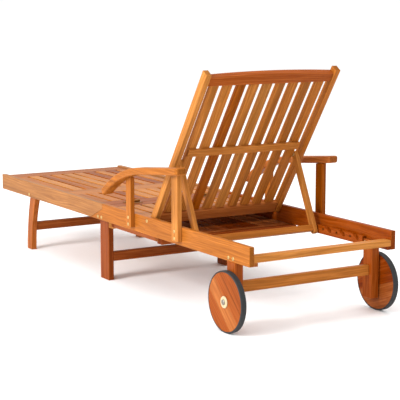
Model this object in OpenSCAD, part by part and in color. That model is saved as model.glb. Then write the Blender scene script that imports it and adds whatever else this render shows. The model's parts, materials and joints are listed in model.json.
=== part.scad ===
// Reclining sun lounger in solid wood: a wheeled frame with slatted seat, a backrest held by a
// notched prop, a hinged foot section on folding legs, armrests and a pull-out tray.
// X runs from the foot end to the head end, Y across, Z up. The origin is on the ground at
// mid-length and mid-width. "Left" is the -Y side, the sitter's left.

/* [Overall] */
// Length over the side rails
lounger_l = 2000; // [1700:10:2300]
// Width over the side rails
frame_w = 593; // [480:1:720]
// Height of the side rails' top edge
deck_h = 299; // [260:1:360]

/* [Side rails] */
// Height of a side rail
rail_h = 65; // [58:1:80]
// Thickness of a side rail
rail_t = 19; // [16:0.5:26]
// Length of the hinged foot section
foot_l = 972; // [800:1:1150]
// Depth of the upright cut at the knee joint
knee_cut = 21; // [14:1:30]
// Length of the slanted cut at the knee joint
knee_slant = 101; // [60:1:140]
// Gap between the rails at the knee joint
knee_gap = 1; // [0.5:0.1:2]

/* [Deck] */
// Number of slats across the deck
slat_n = 10; // [8:1:12]
// Gap between deck slats
slat_gap = 11.4; // [8:0.1:16]
// Thickness of a slat
slat_t = 14; // [10:0.5:18]
// How far the deck lies below the rails' top edge
deck_drop = 6; // [2:0.5:12]
// Thickness of the cross rails
cross_t = 20; // [16:0.5:26]
// Width of the cross rail at the foot end
end_rail_w = 100; // [60:1:130]
// Distance from the foot end to the foot section's middle cross rail
mid_rail_at = 566; // [400:1:640]
// Width of the foot section's middle cross rail
mid_rail_w = 112; // [60:1:140]
// Width of the foot section's cross rail at the knee
knee_rail_w = 70; // [50:1:90]
// Width of the seat's front cross rail
seat_front_w = 60; // [40:1:80]
// Width of the seat's rear cross rail
seat_rear_w = 56; // [40:1:70]
// Distance from that rail to the backrest's pivot
seat_rear_gap = 31; // [28:1:40]

/* [Backrest] */
// Distance from the knee joint to the backrest's pivot
seat_l = 355; // [300:1:480]
// Depth of the pivot below the rails' top edge
pivot_drop = 14; // [12:0.5:24]
// Angle of the raised backrest above the level
back_angle = 56.4; // [50:0.1:65]
// Length of the backrest from its pivot to its top
back_l = 660; // [560:1:670]
// Thickness of a stile
stile_t = 30; // [24:0.5:34]
// Width of a stile
stile_w = 21.5; // [18:0.5:30]
// Clearance between a stile and the side rail
stile_gap = 1.5; // [1:0.5:6]
// Number of backrest slats
back_slat_n = 9; // [7:1:11]
// Width of a backrest slat
back_slat_w = 34.5; // [24:0.5:36]
// How far the backrest slats lie below the stiles' front faces
back_set = 3; // [1:0.5:5]
// Thickness of the backrest's cross rails
back_rail_t = 22; // [18:0.5:26]
// Height of the backrest's top rail at its ends
top_rail_h = 36; // [28:1:48]
// Rise of the top rail's arched edge at its middle
top_crown = 8; // [4:1:14]
// How far the top rail's ends lie below the stiles' tops
top_step = 15; // [6:1:24]
// Height of the backrest's bottom rail
bottom_rail_h = 45; // [36:1:54]
// Height of the batten across the backrest slats
batten_h = 30; // [24:1:40]
// Thickness of that batten
batten_t = 12; // [8:0.5:13]

/* [Prop] */
// Distance from the backrest's pivot to the prop's pivot
prop_at = 268; // [240:1:300]
// Lean of the prop above the ground with the backrest raised
prop_lean = 64.9; // [60:0.1:72]
// Width of a prop arm
arm_w = 25; // [20:1:30]
// Thickness of a prop arm
arm_t = 16; // [14:0.5:20]
// Length of a prop arm beyond the middle of the cross bar
arm_tail = 22; // [14:1:28]
// Depth of the cross bar along the arms
bar_w = 24; // [18:1:28]
// Thickness of the cross bar
bar_t = 20; // [16:1:24]
// Radius of the pegs on the cross bar's ends
peg_r = 7; // [5:0.5:8]
// Height of the notches above a rack's lower edge
peg_rise = 19.5; // [16:0.5:22]
// Clearance of the prop, the foot legs and the armrests beside their neighbours
side_gap = 0.5; // [0.3:0.1:1]

/* [Rack] */
// Number of notches that a rack has room for at most
notch_n = 4; // [2:1:6]
// Distance between notches
notch_pitch = 80; // [60:1:84]
// Slope of a notch
notch_slope = 30; // [25:1:45]
// Height of a rack
rack_h = 31; // [26:1:36]
// Thickness of a rack
rack_t = 18; // [14:0.5:22]
// Clearance between a rack and the lowered backrest
rack_gap = 7.5; // [2:0.5:10]

/* [Legs] */
// Width of a middle leg
mid_leg_w = 70; // [50:1:90]
// Thickness of a middle leg
mid_leg_t = 22; // [18:0.5:28]
// Distance from the knee joint to the middle legs' middle, towards the foot
mid_leg_at = 20; // [0:1:26]
// Thickness of a foot leg
foot_leg_t = 23; // [18:0.5:28]
// Width of a foot leg at the ground
foot_leg_w = 45; // [36:1:52]
// Distance from the foot end to the foot legs' pivot
foot_leg_at = 290; // [220:1:340]
// Radius of a foot leg's rounded top
foot_leg_top_r = 29; // [24:0.5:31]
// Distance of a foot leg's foot beyond its pivot, towards the foot end
foot_leg_splay = 50; // [30:1:60]
// Clearance between a foot leg's round top and the slats
foot_leg_gap = 4; // [1:0.5:8]
// Side of a wheel leg along the frame
head_leg_w = 48; // [38:1:56]
// Thickness of a wheel leg
head_leg_t = 33; // [30:1:44]
// Height of a wheel leg's lap inside the side rail
head_lap = 20; // [18:1:28]
// Ground clearance of a wheel leg
head_leg_lift = 48; // [20:1:60]
// Height of a stretcher
stretcher_h = 36; // [28:1:44]
// Thickness of a stretcher
stretcher_t = 22; // [16:1:26]
// Height of the wheel legs' stretcher above the ground
head_stretcher_z = 130; // [116:1:150]
// Height of the middle legs' stretcher above the ground
mid_stretcher_z = 74; // [60:1:120]
// Height of the foot legs' stretcher above the ground
foot_stretcher_z = 84; // [70:1:120]

/* [Head end] */
// Width of the head cross rail
head_rail_w = 35; // [28:1:44]
// Thickness of the head cross rail
head_rail_t = 22; // [18:1:24]
// Clearance between the head cross rail and the lowered backrest
lie_gap = 2; // [1:0.5:4]
// Thickness of the cleats under the head cross rail's ends
cleat_t = 15; // [12:1:18]

/* [Wheels] */
// Radius of a wheel over its tyre
wheel_r = 103; // [85:1:110]
// Thickness of a wheel
wheel_t = 20; // [16:1:26]
// Thickness of the tyre's band
tyre_t = 5; // [3:0.5:8]
// Distance from the head end to the axle
axle_in = 110; // [90:1:140]
// Radius of an axle bolt
axle_r = 5; // [4:0.5:6]
// Depth of wood beyond an axle bolt's tip
axle_cover = 6; // [4:1:12]
// Thickness of the spacer between a leg and its wheel
spacer_t = 4; // [3:0.5:8]
// Radius of a hub cap
hub_r = 20; // [16:1:26]
// Thickness of a hub cap
hub_t = 4; // [3:0.5:6]

/* [Armrests] */
// Width of an armrest
arm_rest_w = 44; // [36:1:60]
// Thickness of an armrest
arm_rest_t = 26; // [20:1:32]
// Height of an armrest's middle at its rear end, above the rails
arm_rest_rise = 200; // [170:1:230]
// Distance from the backrest's pivot to the armrest's rear end, towards the head
arm_rest_at = 288; // [250:1:330]
// Length of an armrest's straight rear part
arm_rest_flat = 276; // [240:1:320]
// Fall of the straight rear part towards the foot
arm_rest_fall = 6.1; // [3:0.1:8]
// Radius of the curved front part
arm_rest_r = 578; // [480:1:700]
// Sweep of the curved front part
arm_rest_sweep = 30.7; // [24:0.1:36]
// Corner radius at the rear end
arm_rest_corner = 14; // [8:1:18]
// Thickness of a post
post_t = 18; // [15:0.5:22]
// Width of a front post
front_post_w = 36; // [30:1:46]
// Width of a rear post
rear_post_w = 42; // [34:1:50]
// Distance from the backrest's pivot to the front post, towards the foot
front_post_at = 109; // [90:1:125]
// Distance from the backrest's pivot to the rear post, towards the head
rear_post_at = 228; // [190:1:250]
// Height of the posts' lower ends above the rails' bottom edge
post_lift = 15; // [8:1:18]

/* [Tray] */
// Distance from the knee joint to the tray
tray_at = 68; // [50:1:80]
// Length of the tray along the frame
tray_l = 360; // [280:1:420]
// Width of the tray across the frame
tray_w = 585; // [380:1:590]
// Thickness of the tray
tray_t = 14; // [12:0.5:20]
// Number of tray slats
tray_slat_n = 9; // [7:1:11]
// Gap between tray slats
tray_slat_gap = 12; // [8:1:16]
// Width of a runner, and of the tray's end rails
runner_w = 24; // [18:1:30]
// Thickness of a runner's ledge
ledge_t = 6; // [5:0.5:9]
// Depth of a runner's ledge under the tray
ledge_w = 10; // [8:1:14]
// Distance of the runners' ends inside the side rails' outer faces
runner_in = 6; // [0:0.5:8]
// Distance of the tray's near edge inside the left rail's outer face
tray_in = 4; // [0:1:12]
// Play of the tray in its runners
tray_gap = 1; // [0.5:0.1:1]

/* [Fasteners] */
// Radius of a bolt's shank
bolt_r = 3.5; // [2.5:0.5:4]
// Radius of a bolt's head
head_r = 6.5; // [5:0.5:8]
// Height of a bolt's head
head_h = 2.5; // [2:0.5:4]
// Radial clearance of a fixed bolt in its hole
bolt_gap = 0.1; // [0.05:0.05:0.2]
// Radial clearance of a pivot in its bore
pivot_gap = 0.05; // [0.02:0.01:0.09]
// Clearance between faces that turn past each other
turn_gap = 0.3; // [0.3:0.05:0.5]
// Length of a hinge along its pin
hinge_l = 60; // [50:1:80]
// Width of a hinge leaf
leaf_w = 28; // [20:1:34]
// Thickness of a hinge leaf
leaf_t = 2; // [1.5:0.5:3]
// Radius of a hinge knuckle
knuckle_r = 5; // [4:0.5:5.5]
// Radius of a hinge pin
pin_r = 2.5; // [2:0.5:3]
// Distance from a side rail to the nearer end of its hinge
hinge_in = 84; // [4:1:120]
// Radius of a countersunk screw's head
screw_head_r = 4; // [3:0.5:5]
// Radius of a countersunk screw's shank
screw_r = 2; // [1.5:0.5:2.5]
// Depth of a countersunk screw's point in a side rail
screw_in = 10; // [8:1:14]
// Distance between the two bolts of a post
post_bolts = 25; // [20:1:30]
// Distance between the two bolts of a middle leg
mid_leg_bolts = 30; // [24:1:44]
// Distance between the two bolts of a wheel leg
head_leg_bolts = 28; // [18:1:30]
// Height of the legs' bolts above the side rails' bottom edge
leg_bolt_rise = 12; // [9:1:16]
// How far the legs' bolts stand out of the legs' inner faces
bolt_end = 3; // [1:0.5:5]

/* [Hidden] */
$fn = 64;
over = 1;

// Radius of an arc that starts upright and moves sideways by dx over a height h
function arc_radius(dx, h) = (dx * dx + h * h) / (2 * dx);

// Planes across the lounger, on the +Y side
rail_out = frame_w / 2;
rail_in = rail_out - rail_t;
rail_z0 = deck_h - rail_h;
deck_z = deck_h - deck_drop;
foot_x = -lounger_l / 2;
head_x = lounger_l / 2;
knee_x = foot_x + foot_l;
slat_pitch = (2 * rail_in - slat_gap) / slat_n;
slat_w = slat_pitch - slat_gap;

// Stations along the deck
end_rail_x1 = foot_x + end_rail_w;
mid_rail_x0 = foot_x + mid_rail_at;
mid_rail_x1 = mid_rail_x0 + mid_rail_w;
knee_rail_x1 = knee_x - knee_gap;
knee_rail_x0 = knee_rail_x1 - knee_rail_w;
seat_front_x0 = knee_x + knee_gap;
seat_front_x1 = seat_front_x0 + seat_front_w;
pivot_x = knee_x + seat_l;
pivot_z = deck_h - pivot_drop;
seat_rear_x1 = pivot_x - seat_rear_gap;
seat_rear_x0 = seat_rear_x1 - seat_rear_w;

// Backrest: local X runs up it from the pivot, local Z points to its front
stile_out = rail_in - stile_gap;
stile_in = stile_out - stile_w;
back_z1 = stile_t / 2 - back_set;
back_slat_z0 = back_z1 - slat_t;
arm_out = stile_in - side_gap;
arm_in = arm_out - arm_t;
prop_bolt_in = arm_in - turn_gap - head_h;
back_slat_out = prop_bolt_in - side_gap;
back_slat_pitch = (2 * back_slat_out - back_slat_w) / (back_slat_n - 1);
top_rail_x1 = back_l - top_step;
top_rail_x0 = top_rail_x1 - top_rail_h;
bottom_rail_x0 = -10;
bottom_rail_x1 = bottom_rail_x0 + bottom_rail_h;
crown_r = (stile_in * stile_in + top_crown * top_crown) / (2 * top_crown);
batten_x0 = prop_at + 1.4 * arm_w;

// Prop: its pegs lie beside the first notches when the backrest is raised
prop_x = pivot_x + prop_at * cos(back_angle);
prop_z = pivot_z + prop_at * sin(back_angle);
back_low_z = pivot_z - stile_t / 2;
rack_z0 = back_low_z - rack_gap - rack_h;
peg_z = rack_z0 + peg_rise;
prop_l = (prop_z - peg_z) / sin(prop_lean);
peg_x = prop_x + prop_l * cos(prop_lean);

// Legs, wheels and head end
mid_leg_x = knee_x - mid_leg_at;
mid_leg_x0 = mid_leg_x - mid_leg_w / 2;
mid_leg_x1 = mid_leg_x + mid_leg_w / 2;
mid_leg_in = rail_in - mid_leg_t;
mid_leg_z1 = deck_z - cross_t - 3;
foot_leg_x = foot_x + foot_leg_at;
foot_leg_z = deck_z - slat_t - foot_leg_gap - foot_leg_top_r;
foot_leg_x0 = foot_leg_x - foot_leg_splay - foot_leg_w / 2;
foot_leg_x1 = foot_leg_x0 + foot_leg_w;
foot_leg_r0 = arc_radius(foot_leg_x - foot_leg_top_r - foot_leg_x0, foot_leg_z);
foot_leg_r1 = arc_radius(foot_leg_x + foot_leg_top_r - foot_leg_x1, foot_leg_z);
foot_leg_out = rail_in - side_gap;
foot_leg_in = foot_leg_out - foot_leg_t;
axle_x = head_x - axle_in;
head_leg_in = rail_out - head_leg_t;
head_leg_x0 = axle_x - head_leg_w / 2;
head_leg_x1 = axle_x + head_leg_w / 2;
head_leg_z1 = rail_z0 + head_lap;
wheel_in = rail_out + spacer_t;
wheel_out = wheel_in + wheel_t;
head_rail_x0 = head_x - head_rail_w;
head_rail_z1 = back_low_z - lie_gap;
head_rail_z0 = head_rail_z1 - head_rail_t;
rack_in = rail_in - rack_t;
rack_x0 = peg_x - notch_pitch / 2 - 10;
rack_x1 = head_leg_x0 - over;
notches = min(notch_n, 1 + floor((rack_x1 - peg_x) / notch_pitch - 0.2));
peg_out = min(rack_in, head_leg_in) - side_gap;
notch_r = peg_r + 1;

// Armrests and posts
rest_in = rail_out + 2 * side_gap;
rest_out = rest_in + arm_rest_w;
rest_x = pivot_x + arm_rest_at;
rest_z = deck_h + arm_rest_rise;
bend_x = rest_x - arm_rest_flat * cos(arm_rest_fall);
bend_z = rest_z - arm_rest_flat * sin(arm_rest_fall);
curve_x = bend_x + arm_rest_r * sin(arm_rest_fall);
curve_z = bend_z - arm_rest_r * cos(arm_rest_fall);
front_post_x = pivot_x - front_post_at;
rear_post_x = pivot_x + rear_post_at;
post_z0 = rail_z0 + post_lift;
post_bolt_z = deck_h - rail_h / 2 + 5;

// Tray: it slides on two ledged runners under the side rails
tray_x0 = knee_x + tray_at;
tray_x1 = tray_x0 + tray_l;
tray_z0 = rail_z0 - tray_t - tray_gap;
runner_z0 = tray_z0 - ledge_t - tray_gap / 2;
tray_y0 = -rail_out + tray_in;
runner_out = rail_out - runner_in;
tray_slat_w = (tray_w - (tray_slat_n - 1) * tray_slat_gap) / tray_slat_n;

// Hinges: the pin lies just above the rails, so that the foot section can fold up over the seat
hinge_z = deck_h + 0.2;
hinge_y0 = rail_in - hinge_in - hinge_l;
leaf_step = hinge_l / 3;

// Bolts in the side rails
post_bolt_l = post_t + rail_t - 4;
leg_bolt_z = rail_z0 + leg_bolt_rise;
mid_leg_bolt_xs = [for (k = [-0.5, 0.5]) mid_leg_x + k * mid_leg_bolts];
head_leg_bolt_xs = [for (k = [-0.5, 0.5]) axle_x + k * head_leg_bolts];
post_bolt_spots = [for (x = [front_post_x, rear_post_x]) for (k = [-0.5, 0.5])
    [x, post_bolt_z + k * post_bolts]];
rack_screw_xs = [for (k = [0 : notches - 1]) peg_x + (k - 0.5) * notch_pitch];
runner_xs = [tray_x0 - runner_w / 2, tray_x1 + runner_w / 2];

// Shared shapes

// A board between two opposite corners
module board(x0, x1, y0, y1, z0, z1) {
    translate([x0, y0, z0]) cube([x1 - x0, y1 - y0, z1 - z0]);
}

// A board cut from an X-Z outline that lies between two planes of Y
module plank(y0, y1) {
    translate([0, y1, 0]) rotate([90, 0, 0]) linear_extrude(y1 - y0) children();
}

// Puts what is drawn on the +Y side on the right, or mirrors it to the left
module side(right) {
    if (right) children();
    else mirror([0, 1, 0]) children();
}

module both() {
    side(true) children();
    side(false) children();
}

// A rod along Y between two planes
module rod(x, z, r, y0, y1) {
    translate([x, y1, z]) rotate([90, 0, 0]) cylinder(h = y1 - y0, r = r);
}

// A dome-headed bolt on a face at y, with its shank reaching l into the wood
module bolt(x, z, y, l, r = bolt_r) {
    rod(x, z, r, y - l, y);
    translate([x, y, z]) rotate([-90, 0, 0]) cylinder(h = head_h, r1 = head_r, r2 = head_r * 0.6);
}

module bolt_hole(x, z, y, l, r = bolt_r) {
    rod(x, z, r + bolt_gap, y - l - bolt_gap, y + over);
}

// Places children in the backrest's own frame
module on_back() {
    translate([pivot_x, 0, pivot_z]) rotate([0, -back_angle, 0]) children();
}

// Places children in the prop's own frame: X runs down its arms from their pivot
module on_prop() {
    translate([prop_x, 0, prop_z]) rotate([0, prop_lean, 0]) children();
}

// A row of lengthwise deck slats between two cross rails
module deck_slats(x0, x1) {
    for (k = [0 : slat_n - 1]) {
        y = -rail_in + slat_gap + k * slat_pitch;
        board(x0, x1, y, y + slat_w, deck_z - slat_t, deck_z);
    }
}

module deck_cross_rail(x0, x1) {
    board(x0, x1, -rail_in, rail_in, deck_z - cross_t, deck_z);
}

// Side rails and seat

// Side view of a foot rail up to its slanted joint, moved by shift and made higher by extra
module foot_rail_outline(shift, extra = 0) {
    x = knee_x + shift;
    polygon([
        [foot_x - extra, deck_h + extra],
        [x, deck_h + extra],
        [x, deck_h - knee_cut],
        [x - knee_slant, rail_z0],
        [x - knee_slant - extra, rail_z0 - extra],
        [foot_x - extra, rail_z0 - extra]]);
}

module rail(right) {
    color("#d98a45") side(right) difference() {
        board(foot_x, head_x, rail_in, rail_out, rail_z0, deck_h);
        plank(rail_in - over, rail_out + over) foot_rail_outline(knee_gap / 2, over);
        for (x = concat(mid_leg_bolt_xs, head_leg_bolt_xs)) bolt_hole(x, leg_bolt_z, rail_out, 2 * rail_t);
        for (p = post_bolt_spots) bolt_hole(p[0], p[1], rail_out + post_t, post_bolt_l);
        bolt_hole(pivot_x, pivot_z, rail_out, rail_t + over);
        for (x = rack_screw_xs) countersunk(x, bolt_gap);
        for (x = runner_xs) runner_screw(x, bolt_gap);
    }
}

module seat_front_rail() {
    color("#d98a45") deck_cross_rail(seat_front_x0, seat_front_x1);
}

module seat_rear_rail() {
    color("#c9793a") deck_cross_rail(seat_rear_x0, seat_rear_x1);
}

module seat_slats() {
    color("#d58743") deck_slats(seat_front_x1, seat_rear_x0);
}

// Middle legs: a shallow relief keeps each one clear of the folding foot rail
module mid_leg(right) {
    color("#b5622c") side(right) difference() {
        board(mid_leg_x0, mid_leg_x1, mid_leg_in, rail_in, 0, mid_leg_z1);
        plank(rail_in - side_gap, rail_in + over) foot_rail_outline(knee_gap / 2);
        for (x = mid_leg_bolt_xs) bolt_hole(x, leg_bolt_z, rail_out, 3 * rail_t);
    }
}

module mid_stretcher() {
    color("#8a4218") board(mid_leg_x1 - stretcher_t, mid_leg_x1, -mid_leg_in, mid_leg_in,
        mid_stretcher_z, mid_stretcher_z + stretcher_h);
}

// Wheel legs and head end

// Full thickness below the rail, and half lapped inside it above
module head_leg(right) {
    color("#b5622c") side(right) difference() {
        union() {
            board(head_leg_x0, head_leg_x1, head_leg_in, rail_out, head_leg_lift, rail_z0);
            board(head_leg_x0, head_leg_x1, head_leg_in, rail_in, rail_z0, head_leg_z1);
        }
        for (x = head_leg_bolt_xs) bolt_hole(x, leg_bolt_z, rail_out, 3 * rail_t);
        rod(axle_x, wheel_r, axle_r + bolt_gap, head_leg_in + axle_cover - bolt_gap, rail_out + over);
    }
}

module head_stretcher() {
    color("#c9742f") board(axle_x - stretcher_t / 2, axle_x + stretcher_t / 2,
        -head_leg_in, head_leg_in, head_stretcher_z, head_stretcher_z + stretcher_h);
}

module head_cross_rail() {
    color("#cf7c34") board(head_rail_x0, head_x, -rail_in, rail_in,
        head_rail_z0, head_rail_z1);
}

module head_cleats() {
    color("#9c4f20") both() board(head_leg_x1 + over, head_x, rail_in - cleat_t, rail_in,
        rail_z0, head_rail_z0);
}

// A cleat with slanted notches for the prop's pegs
module rack(right) {
    color("#a35222") side(right) difference() {
        plank(rack_in, rail_in) difference() {
            translate([rack_x0, rack_z0]) square([rack_x1 - rack_x0, rack_h]);
            for (k = [0 : notches - 1]) translate([peg_x + k * notch_pitch, peg_z]) {
                circle(r = notch_r);
                rotate(180 - notch_slope) translate([0, -notch_r]) square([rack_h * 2, 2 * notch_r]);
            }
        }
        for (x = rack_screw_xs) countersunk(x, bolt_gap);
    }
}

// A countersunk screw through a rack into the side rail
module countersunk(x, gap = 0) {
    rod(x, peg_z, screw_r + gap, rack_in, rail_in + screw_in + gap);
    translate([x, rack_in - gap / 2, peg_z]) rotate([-90, 0, 0])
        cylinder(h = screw_head_r, r1 = screw_head_r + gap, r2 = gap);
}

// A countersunk screw up through a runner into the side rail
module runner_screw(x, gap = 0) {
    translate([x, (rail_in + runner_out) / 2, runner_z0 - gap / 2]) {
        cylinder(h = rail_z0 - runner_z0 + screw_in + 1.5 * gap, r = screw_r + gap);
        cylinder(h = screw_head_r, r1 = screw_head_r + gap, r2 = gap);
    }
}

module countersunk_screws() {
    color("#b9a98c") both() {
        for (x = rack_screw_xs) countersunk(x);
        for (x = runner_xs) runner_screw(x);
    }
}

// Armrests and posts

// Side view of an armrest, made deeper on its upper side by extra
module rest_outline(extra = 0) {
    t = arm_rest_t / 2;
    far = arm_rest_r * 3;
    a0 = 90 + arm_rest_fall;
    a1 = a0 + arm_rest_sweep;
    translate([rest_x, rest_z]) rotate(arm_rest_fall)
        translate([-arm_rest_flat, -t]) square([arm_rest_flat, 2 * t + extra]);
    translate([curve_x, curve_z]) intersection() {
        difference() {
            circle(r = arm_rest_r + t + extra, $fn = 180);
            circle(r = arm_rest_r - t, $fn = 180);
        }
        polygon([[0, 0], far * [cos(a0), sin(a0)], far * [cos(a1), sin(a1)]]);
    }
}

// Plan of an armrest: square at the front, rounded at the rear end
module rest_plan() {
    c = arm_rest_corner;
    translate([foot_x, rest_in]) square([rest_x - c - foot_x, arm_rest_w]);
    translate([foot_x, rest_in + c]) square([rest_x - foot_x, arm_rest_w - 2 * c]);
    for (y = [rest_in + c, rest_out - c]) translate([rest_x - c, y]) circle(r = c);
}

module armrest(right) {
    color("#d98240") side(right) intersection() {
        plank(rest_in, rest_out) rest_outline();
        linear_extrude(2 * rest_z) rest_plan();
    }
}

// A post on a side rail's outer face, cut to the armrest's underside
module post(x, w) {
    difference() {
        board(x - w / 2, x + w / 2, rail_out, rail_out + post_t, post_z0, rest_z);
        plank(rail_out - over, rest_out + over) rest_outline(arm_rest_rise);
        for (p = post_bolt_spots) bolt_hole(p[0], p[1], rail_out + post_t, post_bolt_l);
    }
}

module front_posts() {
    color("#dc9246") both() post(front_post_x, front_post_w);
}

module rear_posts() {
    color("#dc9246") both() post(rear_post_x, rear_post_w);
}

// Tray runners

module runner(x_wall, dir) {
    x_tray = x_wall - dir * tray_gap;
    difference() {
        union() {
            board(min(x_tray, x_tray - dir * runner_w), max(x_tray, x_tray - dir * runner_w),
                -runner_out, runner_out, runner_z0, rail_z0);
            board(min(x_tray, x_tray + dir * ledge_w), max(x_tray, x_tray + dir * ledge_w),
                -runner_out, runner_out, runner_z0, runner_z0 + ledge_t);
        }
        both() for (x = runner_xs) runner_screw(x, bolt_gap);
    }
}

module runner_front() {
    color("#c07a3c") runner(tray_x0, 1);
}

module runner_rear() {
    color("#7d3f1c") runner(tray_x1, -1);
}

// Fasteners and spacers of the frame

module frame_bolts() {
    color("#d8b878") both() {
        for (x = mid_leg_bolt_xs) bolt(x, leg_bolt_z, rail_out, rail_out - mid_leg_in + bolt_end);
        for (x = head_leg_bolt_xs) bolt(x, leg_bolt_z, rail_out, head_leg_t + bolt_end);
        for (p = post_bolt_spots) bolt(p[0], p[1], rail_out + post_t, post_bolt_l);
    }
}

module back_pivot_bolts() {
    color("#d8b878") both() bolt(pivot_x, pivot_z, rail_out, rail_t + stile_gap + stile_w - over);
}

// Washers beside the backrest's stiles, and sleeves beside the wheels
module spacers() {
    color("#3a3a3a") both() {
        difference() {
            rod(pivot_x, pivot_z, 2.4 * bolt_r, stile_out + turn_gap, rail_in);
            rod(pivot_x, pivot_z, bolt_r + bolt_gap, stile_out - over, rail_in + over);
        }
        difference() {
            rod(axle_x, wheel_r, 2.6 * axle_r, rail_out, wheel_in - turn_gap);
            rod(axle_x, wheel_r, axle_r + bolt_gap, rail_out - over, wheel_in + over);
        }
    }
}

module axle_bolts() {
    y1 = wheel_out + hub_t + turn_gap;
    color("#8f9296") both() {
        rod(axle_x, wheel_r, axle_r, head_leg_in + axle_cover, y1);
        translate([axle_x, y1, wheel_r]) rotate([-90, 0, 0])
            cylinder(h = axle_r * 0.8, r1 = axle_r * 1.9, r2 = axle_r * 1.3);
    }
}

// Hinges at the knee joint: dir 1 is the leaf on the seat, -1 the leaf on the foot section
module leaf(dir) {
    own = dir > 0 ? [0, 2] : [1];
    other = dir > 0 ? [1] : [0, 2];
    x = knee_x + dir * leaf_w;
    difference() {
        union() {
            board(min(knee_x, x), max(knee_x, x), hinge_y0, hinge_y0 + hinge_l,
                deck_z, deck_z + leaf_t);
            for (k = own) rod(knee_x, hinge_z, knuckle_r,
                hinge_y0 + k * leaf_step + turn_gap / 2, hinge_y0 + (k + 1) * leaf_step - turn_gap / 2);
        }
        for (k = other) rod(knee_x, hinge_z, knuckle_r + 3 * turn_gap,
            hinge_y0 + k * leaf_step - turn_gap / 2, hinge_y0 + (k + 1) * leaf_step + turn_gap / 2);
        board(knee_x - turn_gap / 2, knee_x + turn_gap / 2, hinge_y0 - over, hinge_y0 + hinge_l + over,
            deck_z - over, deck_z + leaf_t - over / 2);
        rod(knee_x, hinge_z, pin_r + pivot_gap, hinge_y0 - over, hinge_y0 + hinge_l + over);
    }
}

module hinge_frame_leaves() {
    color("#c9b27c") both() leaf(1);
}

module hinge_foot_leaves() {
    color("#c9b27c") both() leaf(-1);
}

module hinge_pins() {
    color("#a8945f") both() rod(knee_x, hinge_z, pin_r, hinge_y0, hinge_y0 + hinge_l);
}

// Backrest

module stile(right) {
    color("#d98f45") side(right) on_back() difference() {
        plank(stile_in, stile_out) {
            circle(r = stile_t / 2);
            translate([0, -stile_t / 2]) square([back_l, stile_t]);
        }
        rod(0, 0, bolt_r + pivot_gap, stile_in + over / 2, stile_out + over);
        rod(prop_at, 0, bolt_r + bolt_gap, stile_in - over, stile_in + stile_w - 2 * bolt_r);
    }
}

module back_top_rail() {
    color("#a95a24") on_back() translate([0, 0, back_z1 - back_rail_t])
        linear_extrude(back_rail_t) intersection() {
            translate([top_rail_x0, -stile_in]) square([top_rail_h + top_crown, 2 * stile_in]);
            translate([top_rail_x1 + top_crown - crown_r, 0]) circle(r = crown_r, $fn = 720);
        }
}

module back_bottom_rail() {
    color("#a0501f") on_back() board(bottom_rail_x0, bottom_rail_x1, -stile_in, stile_in,
        back_z1 - back_rail_t, back_z1);
}

// The batten ends at the outer slats, so that the prop's arms can fold up beside it
module back_batten() {
    color("#a95a24") on_back() board(batten_x0, batten_x0 + batten_h, -back_slat_out,
        back_slat_out, back_slat_z0 - batten_t, back_slat_z0);
}

module back_slats() {
    color("#b0602a") on_back() for (k = [0 : back_slat_n - 1]) {
        y = -back_slat_out + k * back_slat_pitch;
        board(bottom_rail_x1, top_rail_x0, y, y + back_slat_w, back_slat_z0, back_z1);
    }
}

// Prop

module prop_bolts() {
    color("#d8b878") both() on_back() {
        rod(prop_at, 0, bolt_r, arm_in - turn_gap, stile_in + stile_w - 2 * bolt_r - bolt_gap);
        translate([prop_at, prop_bolt_in, 0]) rotate([-90, 0, 0])
            cylinder(h = head_h, r1 = head_r * 0.6, r2 = head_r);
    }
}

module prop_arm(right) {
    color("#bd6a2e") side(right) on_prop() difference() {
        plank(arm_in, arm_out) {
            circle(r = arm_w / 2);
            translate([0, -arm_w / 2]) square([prop_l + arm_tail - arm_w / 2, arm_w]);
            translate([prop_l + arm_tail - arm_w / 2, 0]) circle(r = arm_w / 2);
        }
        rod(0, 0, bolt_r + pivot_gap, arm_in - over, arm_out + over);
        rod(prop_l, 0, peg_r + bolt_gap, arm_in - over, arm_out + over);
    }
}

module prop_bar() {
    color("#cf7a35") on_prop() difference() {
        board(prop_l - bar_w / 2, prop_l + bar_w / 2, -arm_in, arm_in, -bar_t / 2, bar_t / 2);
        both() rod(prop_l, 0, peg_r + bolt_gap, arm_in - 2 * arm_t, arm_in + over);
    }
}

module prop_pegs() {
    color("#8a4a20") both() on_prop() rod(prop_l, 0, peg_r, arm_in - 2 * arm_t, peg_out);
}

// Foot section

module foot_rail(right) {
    color("#cf8146") side(right) difference() {
        plank(rail_in, rail_out) foot_rail_outline(-knee_gap / 2);
        bolt_hole(foot_leg_x, foot_leg_z, rail_out, rail_t + over);
    }
}

module foot_end_rail() {
    color("#d58743") deck_cross_rail(foot_x, end_rail_x1);
}

module foot_mid_rail() {
    color("#d58743") deck_cross_rail(mid_rail_x0, mid_rail_x1);
}

module foot_knee_rail() {
    color("#d58743") deck_cross_rail(knee_rail_x0, knee_rail_x1);
}

module foot_slats() {
    color("#cf7f3d") deck_slats(end_rail_x1, mid_rail_x0);
}

module knee_slats() {
    color("#cf7f3d") deck_slats(mid_rail_x1, knee_rail_x0);
}

// A foot leg is a curved board that narrows to its foot. Its two long edges are arcs that
// stand upright on the ground, and its top is round about the pivot.
module foot_leg_outline() {
    difference() {
        intersection() {
            translate([foot_leg_x0 + foot_leg_r0, 0]) circle(r = foot_leg_r0, $fn = 360);
            translate([foot_leg_x0, 0])
                square([foot_leg_x + foot_leg_top_r - foot_leg_x0, foot_leg_z]);
        }
        translate([foot_leg_x1 + foot_leg_r1, 0]) circle(r = foot_leg_r1, $fn = 360);
    }
    translate([foot_leg_x, foot_leg_z]) circle(r = foot_leg_top_r);
}

module foot_leg(right) {
    color("#c8793b") side(right) difference() {
        plank(foot_leg_in, foot_leg_out) foot_leg_outline();
        rod(foot_leg_x, foot_leg_z, bolt_r + pivot_gap, foot_leg_in - over, foot_leg_out + over);
    }
}

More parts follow.
